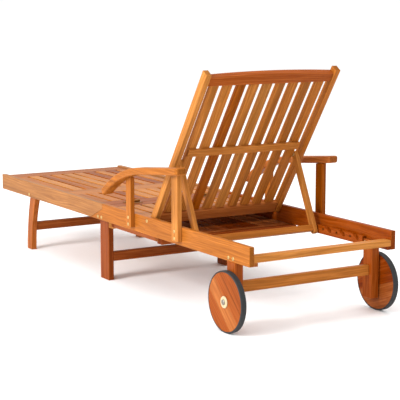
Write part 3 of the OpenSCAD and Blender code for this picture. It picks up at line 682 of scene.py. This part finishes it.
class LOUNGER_OT_armrests(bpy.types.Operator):
    """Make the armrests and the posts that carry them"""

    bl_idname = "lounger.armrests"
    bl_label = "Armrests"

    def execute(self, context):
        armrest("left", "acacia_golden", 0.5)
        armrest("right", "acacia_red", 0.95)
        boards("front_posts", Z, Y, "acacia_golden", tone=0.5)
        boards("rear_posts", Z, Y, "acacia_golden")
        return {"FINISHED"}


class LOUNGER_OT_tray(bpy.types.Operator):
    """Make the slide-out tray and its runners"""

    bl_idname = "lounger.tray"
    bl_label = "Tray"

    def execute(self, context):
        boards("tray_end_rails", Y, Z, "acacia_brown")
        boards("tray_slats", X, Z, "acacia_brown", radius=context.scene.lounger_shape.slat_round)
        boards("runner_front", Y, Y, "acacia_golden", radius=MM)
        boards("runner_rear", Y, Y, "acacia_brown", radius=MM)
        return {"FINISHED"}


class LOUNGER_OT_backrest(bpy.types.Operator):
    """Make the backrest's stiles, rails, slats and batten"""

    bl_idname = "lounger.backrest"
    bl_label = "Backrest"

    def execute(self, context):
        place = back_place()
        boards("stile_left", X, Y, "acacia_golden", place, tone=0.85)
        boards("stile_right", X, Y, "acacia_golden", place, tone=0.5)
        boards("back_top_rail", Y, Z, "acacia_red", place, tone=0.55)
        boards("back_bottom_rail", Y, Z, "acacia_red", place, tone=0.95)
        boards("back_batten", Y, Z, "acacia_amber", place, tone=0.8)
        boards("back_slats", X, Z, "acacia_amber", place, context.scene.lounger_shape.slat_round)
        return {"FINISHED"}


class LOUNGER_OT_prop(bpy.types.Operator):
    """Make the prop that holds the backrest up"""

    bl_idname = "lounger.prop"
    bl_label = "Prop"

    def execute(self, context):
        place = prop_place()
        for side in SIDES:
            boards("prop_arm_" + side, X, Y, "acacia_amber", place, tone=0.9)
        boards("prop_bar", Y, Z, "acacia_golden", place)
        pegs = Heap()
        chance = random.Random("prop_pegs")
        for solid in cad_solids("prop_pegs"):
            low, high = extent([p for face in solid for p in face])
            radius = (high.x - low.x) / 2
            length = high.y - low.y
            peg = turned_solid([(0, 0), (radius - MM, 0), (radius, MM), (radius, length - MM),
                                (radius - MM, length), (0, length)])
            middle = (low + high) / 2
            pegs.take(peg, Matrix.Translation((middle.x, low.y, middle.z)) @ axes(X, Y), Y, chance)
        pegs.object("wood_prop_pegs", "acacia_red", BODY_OF["prop_pegs"], ["prop_pegs"])
        return {"FINISHED"}


def wheel_planks(side, slope, seams, finish):
    """A wheel glued up from planks, cut apart along seams at distances from its middle."""
    node = "wheel_" + side
    low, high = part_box(node)
    middle = (low + high) / 2
    radius = (high.x - low.x) / 2
    bore = max(abs(p.x - middle.x) for face in cad_solids(node)[0] for p in face
               if (p.xz - middle.xz).length < radius / 2)
    place = Matrix.Translation((middle.x, low.y, middle.z)) @ Matrix.Rotation(-slope, 4, "Y") @ axes(X, Y)
    grain = (Matrix.Rotation(-slope, 3, "Y") @ X).normalized()
    thickness = high.y - low.y
    profile = [(bore, 0), (radius, 0), (radius, thickness), (bore, thickness)]
    bounds = [-radius * 2] + sorted(seams) + [radius * 2]
    chance = random.Random(node)
    heap = Heap()
    for start, stop in zip(bounds, bounds[1:]):
        plank = turned(profile, 96)
        for level, sign in ((start, 1), (stop, -1)):
            every = plank.verts[:] + plank.edges[:] + plank.faces[:]
            cut = bmesh.ops.bisect_plane(plank, geom=every, dist=1e-6, plane_co=(0, level, 0),
                                         plane_no=(0, sign, 0), clear_inner=True)
            loop = [e for e in cut["geom_cut"] if isinstance(e, bmesh.types.BMEdge)]
            if loop:
                bmesh.ops.contextual_create(plank, geom=loop)
        plank.normal_update()
        heap.take(rounded(plank, bpy.context.scene.lounger_shape.seam_round, 2), place, grain, chance)
    heap.object("wood_" + node, finish, BODY_OF[node], [node])


def ring_piece(node, profile, finish, segments=96):
    """Replaces a round CAD node on a wheel by a turned piece. Heights run outwards from the frame."""
    low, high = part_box(node)
    middle = (low + high) / 2
    outwards = Y if middle.y > 0 else -Y
    start = low.y if middle.y > 0 else high.y
    place = Matrix.Translation((middle.x, start, middle.z)) @ axes(X, outwards)
    shape = turned(profile((high.x - low.x) / 2, high.y - low.y), segments)
    heap = Heap()
    heap.take(shape, place, Y, random.Random(node))
    heap.object("round_" + node, finish, BODY_OF[node], [node])


def tyre_profile(radius, width):
    """A thin band with rounded shoulders and two shallow grooves."""
    inner, shoulder, groove = radius - 5 * MM, 2 * MM, 0.6 * MM
    return [(inner, 0), (radius - shoulder, 0), (radius - shoulder * 0.3, shoulder * 0.3),
            (radius, shoulder), (radius, width * 0.3), (radius - groove, width * 0.32),
            (radius - groove, width * 0.36), (radius, width * 0.38), (radius, width * 0.62),
            (radius - groove, width * 0.64), (radius - groove, width * 0.68), (radius, width * 0.7),
            (radius, width - shoulder), (radius - shoulder * 0.3, width - shoulder * 0.3),
            (radius - shoulder, width), (inner, width)]


def cap_profile(radius, height):
    """A low cap with a rounded rim, a fine ring groove and a bore for the axle bolt."""
    bore = AXLE_SHANK + BORE_PLAY
    return [(bore, 0), (radius, 0), (radius, height * 0.45), (radius - MM, height * 0.85),
            (radius - 2.4 * MM, height), (radius * 0.68, height), (radius * 0.65, height - 0.7 * MM),
            (radius * 0.6, height - 0.7 * MM), (radius * 0.57, height), (bore, height)]


class LOUNGER_OT_wheels(bpy.types.Operator):
    """Make the wooden wheels with their tyres and hub caps"""

    bl_idname = "lounger.wheels"
    bl_label = "Wheels"

    def execute(self, context):
        settings = context.scene.lounger_shape
        wheel_planks("left", settings.left_wheel_grain, (-0.052, -0.008, 0.044), "acacia_red")
        wheel_planks("right", settings.right_wheel_grain, (-0.066, -0.016, 0.016), "acacia_brown")
        for side in SIDES:
            ring_piece("tyre_" + side, tyre_profile, "tyre_rubber")
            ring_piece("hub_cap_" + side, cap_profile, "hub_cap_abs", 64)
        return {"FINISHED"}


def domed_bolt(shank, length, head, height):
    """A bolt that lies along Z, its domed head with a round driving socket above Z 0."""
    socket = head * 0.36
    dome = [(head * math.cos(a), height * 0.3 + height * 0.7 * math.sin(a))
            for a in (math.radians(k) for k in (0, 20, 40, 58))]
    rim = (socket + 0.3 * MM, height)
    return turned_solid([(0, -length), (shank - 0.6 * MM, -length), (shank, -length + 0.6 * MM),
                         (shank, 0), (head, 0), *dome, rim, (socket, height - 0.3 * MM),
                         (socket, height * 0.35), (0, height * 0.35)])


def hex_nut(radius, bore, height):
    """A chamfered hexagonal nut on Z."""
    return turned([(bore, 0), (radius * 0.92, 0), (radius, height * 0.15), (radius, height * 0.85),
                   (radius * 0.92, height), (bore, height)], 6)


def bolts(node, finish, shank, head_outside=True):
    """Replaces the bolts and nuts of a CAD node, which all lie along Y."""
    heap = Heap()
    chance = random.Random(node)
    for solid in cad_solids(node):
        low, high = extent([p for face in solid for p in face])
        middle = (low + high) / 2
        radius = (high.x - low.x) / 2
        length = high.y - low.y
        outwards = Y if (middle.y > 0) == head_outside else -Y
        if length < 1.5 * radius:
            place = Matrix.Translation((middle.x, low.y, middle.z)) @ axes(X, Y)
            heap.take(hex_nut(radius, shank + 0.1 * MM, length), place, Y, chance)
            continue
        wide = [p.dot(outwards) for face in solid for p in face
                if (p.xz - middle.xz).length > radius - 0.2 * MM]
        seat, tip = min(wide), max(p.dot(outwards) for face in solid for p in face)
        tail = min(p.dot(outwards) for face in solid for p in face)
        place = Matrix.Translation((middle.x, seat * outwards.y, middle.z)) @ axes(X, outwards)
        heap.take(domed_bolt(shank, seat - tail, radius, tip - seat), place, Y, chance)
    heap.object("metal_" + node, finish, BODY_OF[node], [node])


def screw_head():
    """A low oval screw head with a round recess, on a short stub below Z 0."""
    stub, rim, recess = 1.4 * MM, 3.1 * MM, 1.1 * MM
    return turned_solid([(0, -1.5 * MM), (stub, -1.5 * MM), (rim, 0), (rim - 0.2 * MM, 0.3 * MM),
                         (recess + 0.5 * MM, 0.6 * MM), (recess + 0.1 * MM, 0.55 * MM),
                         (recess, 0.1 * MM), (0, 0.1 * MM)], 20)


def hinge_screws(node, finish, dx):
    """Three staggered screw heads on each leaf of the hinges, dx from the hinge pins' line."""
    heap = Heap()
    chance = random.Random(node)
    top = min(p.z for solid in cad_solids(node) for face in solid for p in face) + LEAF
    for solid in cad_solids(node):
        low, high = extent([p for face in solid for p in face])
        for share, shift in ((0.17, 0), (0.5, 5 * MM), (0.83, 0)):
            y = low.y + share * (high.y - low.y)
            x = JOINTS["foot_fold"]["pos_m"][0] + dx + math.copysign(shift, dx)
            heap.take(screw_head(), Matrix.Translation((x, y, top)), Y, chance)
    heap.object("screws_" + node, finish, BODY_OF[node])


class LOUNGER_OT_fittings(bpy.types.Operator):
    """Make the bolts, nuts and hinge screws, and finish the fittings that keep their CAD shape"""

    bl_idname = "lounger.fittings"
    bl_label = "Fittings"

    def execute(self, context):
        for node in ("frame_bolts", "back_pivot_bolts", "foot_leg_bolts"):
            bolts(node, "yellow_zinc", BOLT_SHANK)
        bolts("prop_bolts", "yellow_zinc", BOLT_SHANK, head_outside=False)
        bolts("axle_bolts", "grey_zinc", AXLE_SHANK)
        hinge_screws("hinge_frame_leaves", "bronze_lacquer", SCREW_LINE)
        hinge_screws("hinge_foot_leaves", "bronze_lacquer", -SCREW_LINE)
        kept = {"hinge_frame_leaves": "bronze_lacquer", "hinge_foot_leaves": "bronze_lacquer",
                "hinge_pins": "grey_zinc", "countersunk_screws": "yellow_zinc", "spacers": "black_nylon"}
        for node, finish in kept.items():
            materials = frame["nodes"][node].data.materials
            materials.clear()
            materials.append(finish_named(finish))
        return {"FINISHED"}


def soft_light(name, place, aim, size, power):
    """A square area light that faces a point."""
    light = bpy.data.lights.new(name, "AREA")
    light.size = size
    light.energy = power
    made = bpy.data.objects.new(name, light)
    made.location = place
    made.rotation_euler = (Vector(aim) - Vector(place)).to_track_quat("-Z", "Y").to_euler()
    bpy.context.scene.collection.objects.link(made)


class LOUNGER_OT_stage(bpy.types.Operator):
    """Make the floor, the studio lights and the camera"""

    bl_idname = "lounger.stage"
    bl_label = "Stage"

    def execute(self, context):
        scene = context.scene
        view = scene.lounger_view
        reach = 150    # metres, so that the floor runs to the horizon
        mesh = bpy.data.meshes.new("floor")
        mesh.from_pydata([(-reach, -reach, 0), (reach, -reach, 0), (reach, reach, 0), (-reach, reach, 0)],
                         [], [(0, 1, 2, 3)])
        mesh.materials.append(finish_named("studio_paint"))
        floor = bpy.data.objects.new("floor", mesh)
        scene.collection.objects.link(floor)

        world = bpy.data.worlds.new("studio")
        world.use_nodes = True
        background = world.node_tree.nodes["Background"]
        background.inputs["Color"].default_value = linear("#FFFFFF")
        background.inputs["Strength"].default_value = 1.06
        scene.world = world
        scene.view_settings.view_transform = "Standard"
        soft_light("key", (0.8, -5.0, 3.0), (0, 0, 0.3), 2.0, 280)
        soft_light("top", (0.5, 0, 5), (0, 0, 0.3), 4, 90)

        back = Vector((math.sin(view.azimuth) * math.cos(view.elevation),
                       -math.cos(view.azimuth) * math.cos(view.elevation), math.sin(view.elevation)))
        lens = bpy.data.cameras.new("camera")
        lens.lens = view.lens
        lens.sensor_width = 36
        camera = bpy.data.objects.new("camera", lens)
        camera.location = Vector(view.aim) + back * view.distance
        camera.rotation_euler = (math.pi / 2 - view.elevation, 0, view.azimuth)
        scene.collection.objects.link(camera)
        scene.camera = camera
        return {"FINISHED"}


PIECES = (LOUNGER_OT_side_rails, LOUNGER_OT_deck, LOUNGER_OT_legs, LOUNGER_OT_head_end,
          LOUNGER_OT_armrests, LOUNGER_OT_tray, LOUNGER_OT_backrest, LOUNGER_OT_prop,
          LOUNGER_OT_wheels, LOUNGER_OT_fittings, LOUNGER_OT_stage)


class LOUNGER_PT_panel(bpy.types.Panel):
    """Lists the lounger's settings and its pieces"""

    bl_idname = "LOUNGER_PT_panel"
    bl_label = "Sun Lounger"
    bl_space_type = "VIEW_3D"
    bl_region_type = "UI"
    bl_category = "Lounger"

    def draw(self, context):
        for group in (context.scene.lounger_shape, context.scene.lounger_colours,
                      context.scene.lounger_view):
            box = self.layout.box()
            for name in group.bl_rna.properties.keys():
                if name not in ("rna_type", "name"):
                    box.prop(group, name)
        for operator in PIECES:
            self.layout.operator(operator.bl_idname)


SETTINGS = {"lounger_shape": LoungerShape, "lounger_colours": LoungerColours,
            "lounger_view": LoungerView}


def register():
    for kind in (*SETTINGS.values(), *PIECES, LOUNGER_PT_panel):
        bpy.utils.register_class(kind)
    for name, kind in SETTINGS.items():
        setattr(bpy.types.Scene, name, bpy.props.PointerProperty(type=kind))


def unregister():
    for name in SETTINGS:
        delattr(bpy.types.Scene, name)
    for kind in (LOUNGER_PT_panel, *reversed(PIECES), *reversed(SETTINGS.values())):
        bpy.utils.unregister_class(kind)


def main():
    """Makes every piece in order."""
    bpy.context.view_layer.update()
    register()
    for operator in PIECES:
        group, name = operator.bl_idname.split(".")
        getattr(getattr(bpy.ops, group), name)()


if __name__ == "__main__":
    main()
